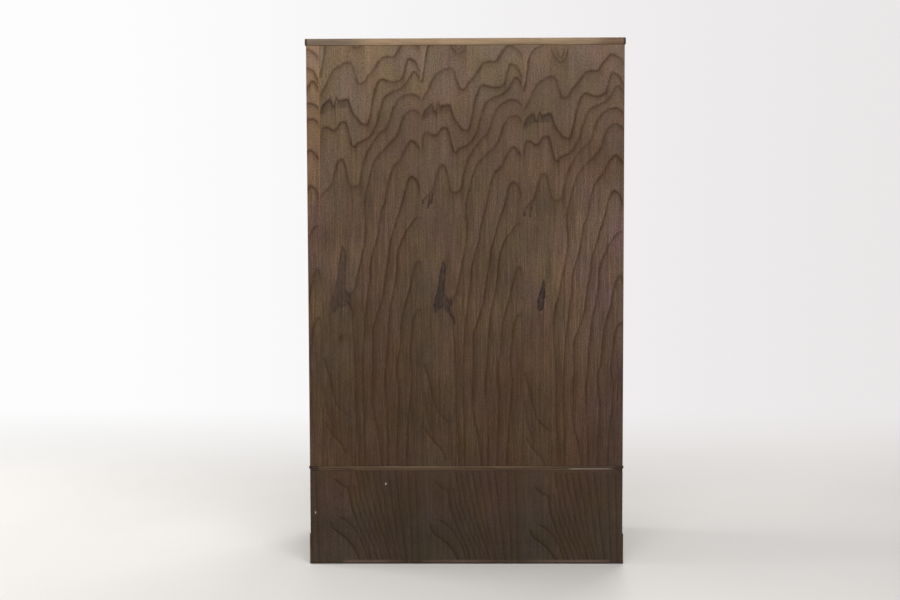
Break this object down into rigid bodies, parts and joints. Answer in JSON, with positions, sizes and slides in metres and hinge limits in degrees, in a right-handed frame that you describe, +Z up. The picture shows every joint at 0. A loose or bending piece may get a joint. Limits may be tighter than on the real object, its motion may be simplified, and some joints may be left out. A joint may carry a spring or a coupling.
{
  "type": "clothing tansu",
  "caption": "Tall two-section clothing tansu of dark stained wood with a slip-matched veneer back, hinged doors over shelves, sliding drawers, iron ring and bail pulls, and a plinth.",
  "frame": {"origin": "middle of the footprint, on the floor", "axes": "+Z up, -Y out of the front with its doors and drawers, +X to the right seen from the front"},
  "size_m": [0.913, 0.4684, 1.515],
  "materials": {
    "stained_case": "dark brown stain under thin satin lacquer",
    "matched_veneer": "slip-matched figured veneer, dark brown stain, worn satin lacquer",
    "worn_board": "brown stain worn paler along the edges",
    "bare_paulownia": "bare planed wood",
    "black_iron": "forged iron, blackened, dull sheen"
  },
  "bodies": {
    "case": {"top_board": "worn_board", "upper_left_side": "stained_case", "upper_right_side": "stained_case", "upper_bottom_board": "worn_board", "upper_back_panel": "matched_veneer", "door_sill_board": "stained_case", "door_stop_strip": "stained_case", "lower_shelf": "bare_paulownia", "upper_shelf": "bare_paulownia", "base_top_board": "stained_case", "base_left_side": "stained_case", "base_right_side": "stained_case", "base_bottom_board": "stained_case", "base_back_panel": "matched_veneer", "plinth_front": "stained_case", "plinth_left": "stained_case", "plinth_right": "stained_case", "left_door_lower_hinge_case_leaf": "black_iron", "left_door_upper_hinge_case_leaf": "black_iron", "right_door_lower_hinge_case_leaf": "black_iron", "right_door_upper_hinge_case_leaf": "black_iron"},
    "left_door": {"left_door_hinge_stile": "stained_case", "left_door_meeting_stile": "stained_case", "left_door_top_rail": "stained_case", "left_door_bottom_rail": "stained_case", "left_door_panel": "matched_veneer", "left_door_lower_hinge_door_leaf": "black_iron", "left_door_upper_hinge_door_leaf": "black_iron", "left_lock_plate": "black_iron", "left_ring_post": "black_iron"},
    "left_ring": {"left_ring": "black_iron"},
    "right_door": {"right_door_hinge_stile": "stained_case", "right_door_meeting_stile": "stained_case", "right_door_top_rail": "stained_case", "right_door_bottom_rail": "stained_case", "right_door_panel": "matched_veneer", "right_door_lower_hinge_door_leaf": "black_iron", "right_door_upper_hinge_door_leaf": "black_iron", "right_lock_plate": "black_iron", "right_ring_post": "black_iron"},
    "right_ring": {"right_ring": "black_iron"},
    "upper_drawer": {"upper_drawer_front": "stained_case", "upper_drawer_left_side": "bare_paulownia", "upper_drawer_right_side": "bare_paulownia", "upper_drawer_back": "bare_paulownia", "upper_drawer_bottom": "bare_paulownia", "upper_drawer_left_pull_plate": "black_iron", "upper_drawer_right_pull_plate": "black_iron"},
    "upper_drawer_left_bail": {"upper_drawer_left_bail": "black_iron"},
    "upper_drawer_right_bail": {"upper_drawer_right_bail": "black_iron"},
    "base_drawer": {"base_drawer_front": "stained_case", "base_drawer_left_side": "bare_paulownia", "base_drawer_right_side": "bare_paulownia", "base_drawer_back": "bare_paulownia", "base_drawer_bottom": "bare_paulownia", "base_drawer_left_pull_plate": "black_iron", "base_drawer_right_pull_plate": "black_iron"},
    "base_drawer_left_bail": {"base_drawer_left_bail": "black_iron"},
    "base_drawer_right_bail": {"base_drawer_right_bail": "black_iron"}
  },
  "joints": [
    {"name": "left_door_swing", "type": "hinge", "parent": "case", "child": "left_door", "pos_m": [-0.43225, -0.22075, 1.00065], "axis": [0, 0, -1], "range_deg": [0, 170]},
    {"name": "left_ring_swing", "type": "hinge", "parent": "left_door", "child": "left_ring", "pos_m": [-0.035, -0.22775, 1.00065], "axis": [-1, 0, 0], "range_deg": [0, 150]},
    {"name": "right_door_swing", "type": "hinge", "parent": "case", "child": "right_door", "pos_m": [0.43225, -0.22075, 1.00065], "axis": [0, 0, 1], "range_deg": [0, 170]},
    {"name": "right_ring_swing", "type": "hinge", "parent": "right_door", "child": "right_ring", "pos_m": [0.035, -0.22775, 1.00065], "axis": [-1, 0, 0], "range_deg": [0, 150]},
    {"name": "upper_drawer_slide", "type": "slide", "parent": "case", "child": "upper_drawer", "axis": [0, -1, 0], "range_m": [0, 0.3]},
    {"name": "upper_drawer_left_bail_swing", "type": "hinge", "parent": "upper_drawer", "child": "upper_drawer_left_bail", "pos_m": [-0.235, -0.22775, 0.40845], "axis": [-1, 0, 0], "range_deg": [0, 150]},
    {"name": "upper_drawer_right_bail_swing", "type": "hinge", "parent": "upper_drawer", "child": "upper_drawer_right_bail", "pos_m": [0.235, -0.22775, 0.40845], "axis": [-1, 0, 0], "range_deg": [0, 150]},
    {"name": "base_drawer_slide", "type": "slide", "parent": "case", "child": "base_drawer", "axis": [0, -1, 0], "range_m": [0, 0.3]},
    {"name": "base_drawer_left_bail_swing", "type": "hinge", "parent": "base_drawer", "child": "base_drawer_left_bail", "pos_m": [-0.235, -0.22775, 0.1968], "axis": [-1, 0, 0], "range_deg": [0, 150]},
    {"name": "base_drawer_right_bail_swing", "type": "hinge", "parent": "base_drawer", "child": "base_drawer_right_bail", "pos_m": [0.235, -0.22775, 0.1968], "axis": [-1, 0, 0], "range_deg": [0, 150]}
  ]
}
